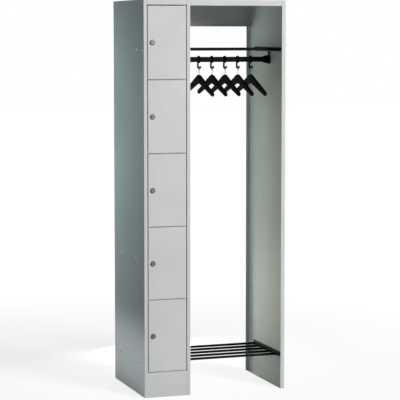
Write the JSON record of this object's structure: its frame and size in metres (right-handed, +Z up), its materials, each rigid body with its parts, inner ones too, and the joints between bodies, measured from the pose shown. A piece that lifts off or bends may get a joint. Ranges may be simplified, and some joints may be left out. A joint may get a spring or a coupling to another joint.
{
  "type": "cloakroom unit with lockers",
  "caption": "Freestanding cloakroom unit: a column of stacked lockers with hinged doors and cylinder locks beside an open coat bay with hat shelf, clothes rail, captive hangers and shoe rack.",
  "frame": {"origin": "on the floor under the middle of the unit's box", "axes": "+Z up, +X to the right seen from the front, the doors face -Y"},
  "size_m": [0.7044, 0.508, 1.85],
  "materials": {
    "light_grey_paint": "satin powder coat",
    "black_paint": "satin powder coat",
    "black_plastic": "satin moulded",
    "white_plastic": "matt",
    "grey_plastic": "matt",
    "chrome_plate": "polished",
    "plain_steel": "zinc plated"
  },
  "bodies": {
    "cabinet": {"locker_left_side": "light_grey_paint", "locker_right_side": "light_grey_paint", "locker_back": "light_grey_paint", "locker_roof": "light_grey_paint", "plinth_panel": "light_grey_paint", "locker_floor": "light_grey_paint", "locker_shelf_1": "light_grey_paint", "locker_shelf_2": "light_grey_paint", "locker_shelf_3": "light_grey_paint", "locker_shelf_4": "light_grey_paint", "bay_side": "light_grey_paint", "bay_roof": "light_grey_paint", "rear_apron": "light_grey_paint", "hat_shelf_brackets": "black_paint", "hat_shelf_rods": "black_paint", "shoe_rack_brackets": "black_paint", "shoe_rack_rods": "black_paint", "clothes_rail": "black_paint", "rail_sockets": "black_plastic", "hinge_pins": "plain_steel", "hinge_washers": "white_plastic", "rack_bolts": "plain_steel", "hole_plugs": "grey_plastic"},
    "door_1": {"door_1": "light_grey_paint", "lock_housing_1": "chrome_plate"},
    "lock_1": {"lock_core_1": "chrome_plate", "lock_cam_1": "plain_steel"},
    "door_2": {"door_2": "light_grey_paint", "lock_housing_2": "chrome_plate"},
    "lock_2": {"lock_core_2": "chrome_plate", "lock_cam_2": "plain_steel"},
    "door_3": {"door_3": "light_grey_paint", "lock_housing_3": "chrome_plate"},
    "lock_3": {"lock_core_3": "chrome_plate", "lock_cam_3": "plain_steel"},
    "door_4": {"door_4": "light_grey_paint", "lock_housing_4": "chrome_plate"},
    "lock_4": {"lock_core_4": "chrome_plate", "lock_cam_4": "plain_steel"},
    "door_5": {"door_5": "light_grey_paint", "lock_housing_5": "chrome_plate"},
    "lock_5": {"lock_core_5": "chrome_plate", "lock_cam_5": "plain_steel"},
    "hook_1": {"sliding_hook_1": "black_plastic"},
    "hanger_1": {"hanger_1": "black_plastic", "hanger_wire_1": "chrome_plate"},
    "hook_2": {"sliding_hook_2": "black_plastic"},
    "hanger_2": {"hanger_2": "black_plastic", "hanger_wire_2": "chrome_plate"},
    "hook_3": {"sliding_hook_3": "black_plastic"},
    "hanger_3": {"hanger_3": "black_plastic", "hanger_wire_3": "chrome_plate"},
    "hook_4": {"sliding_hook_4": "black_plastic"},
    "hanger_4": {"hanger_4": "black_plastic", "hanger_wire_4": "chrome_plate"},
    "hook_5": {"sliding_hook_5": "black_plastic"},
    "hanger_5": {"hanger_5": "black_plastic", "hanger_wire_5": "chrome_plate"}
  },
  "joints": [
    {"name": "door_1_hinge", "type": "hinge", "parent": "cabinet", "child": "door_1", "pos_m": [-0.1525, -0.2385, 1.654], "axis": [0, 0, 1], "range_deg": [0, 105]},
    {"name": "lock_1_turn", "type": "hinge", "parent": "door_1", "child": "lock_1", "pos_m": [-0.307, -0.246, 1.654], "axis": [0, 1, 0], "range_deg": [0, 90]},
    {"name": "door_2_hinge", "type": "hinge", "parent": "cabinet", "child": "door_2", "pos_m": [-0.1525, -0.2385, 1.313], "axis": [0, 0, 1], "range_deg": [0, 105]},
    {"name": "lock_2_turn", "type": "hinge", "parent": "door_2", "child": "lock_2", "pos_m": [-0.307, -0.246, 1.313], "axis": [0, 1, 0], "range_deg": [0, 90]},
    {"name": "door_3_hinge", "type": "hinge", "parent": "cabinet", "child": "door_3", "pos_m": [-0.1525, -0.2385, 0.972], "axis": [0, 0, 1], "range_deg": [0, 105]},
    {"name": "lock_3_turn", "type": "hinge", "parent": "door_3", "child": "lock_3", "pos_m": [-0.307, -0.246, 0.972], "axis": [0, 1, 0], "range_deg": [0, 90]},
    {"name": "door_4_hinge", "type": "hinge", "parent": "cabinet", "child": "door_4", "pos_m": [-0.1525, -0.2385, 0.631], "axis": [0, 0, 1], "range_deg": [0, 105]},
    {"name": "lock_4_turn", "type": "hinge", "parent": "door_4", "child": "lock_4", "pos_m": [-0.307, -0.246, 0.631], "axis": [0, 1, 0], "range_deg": [0, 90]},
    {"name": "door_5_hinge", "type": "hinge", "parent": "cabinet", "child": "door_5", "pos_m": [-0.1525, -0.2385, 0.29], "axis": [0, 0, 1], "range_deg": [0, 105]},
    {"name": "lock_5_turn", "type": "hinge", "parent": "door_5", "child": "lock_5", "pos_m": [-0.307, -0.246, 0.29], "axis": [0, 1, 0], "range_deg": [0, 90]},
    {"name": "hook_1_slide", "type": "slide", "parent": "cabinet", "child": "hook_1", "axis": [1, 0, 0], "range_m": [-0.022, 0.022]},
    {"name": "hanger_1_swing", "type": "hinge", "parent": "hook_1", "child": "hanger_1", "pos_m": [-0.00875, -0.032, 1.5315], "axis": [1, 0, 0], "range_deg": [-35, 35]},
    {"name": "hook_2_slide", "type": "slide", "parent": "cabinet", "child": "hook_2", "axis": [1, 0, 0], "range_m": [-0.022, 0.022]},
    {"name": "hanger_2_swing", "type": "hinge", "parent": "hook_2", "child": "hanger_2", "pos_m": [0.05685, -0.032, 1.5315], "axis": [1, 0, 0], "range_deg": [-35, 35]},
    {"name": "hook_3_slide", "type": "slide", "parent": "cabinet", "child": "hook_3", "axis": [1, 0, 0], "range_m": [-0.022, 0.022]},
    {"name": "hanger_3_swing", "type": "hinge", "parent": "hook_3", "child": "hanger_3", "pos_m": [0.12245, -0.032, 1.5315], "axis": [1, 0, 0], "range_deg": [-35, 35]},
    {"name": "hook_4_slide", "type": "slide", "parent": "cabinet", "child": "hook_4", "axis": [1, 0, 0], "range_m": [-0.022, 0.022]},
    {"name": "hanger_4_swing", "type": "hinge", "parent": "hook_4", "child": "hanger_4", "pos_m": [0.18805, -0.032, 1.5315], "axis": [1, 0, 0], "range_deg": [-35, 35]},
    {"name": "hook_5_slide", "type": "slide", "parent": "cabinet", "child": "hook_5", "axis": [1, 0, 0], "range_m": [-0.022, 0.022]},
    {"name": "hanger_5_swing", "type": "hinge", "parent": "hook_5", "child": "hanger_5", "pos_m": [0.25365, -0.032, 1.5315], "axis": [1, 0, 0], "range_deg": [-35, 35]}
  ]
}
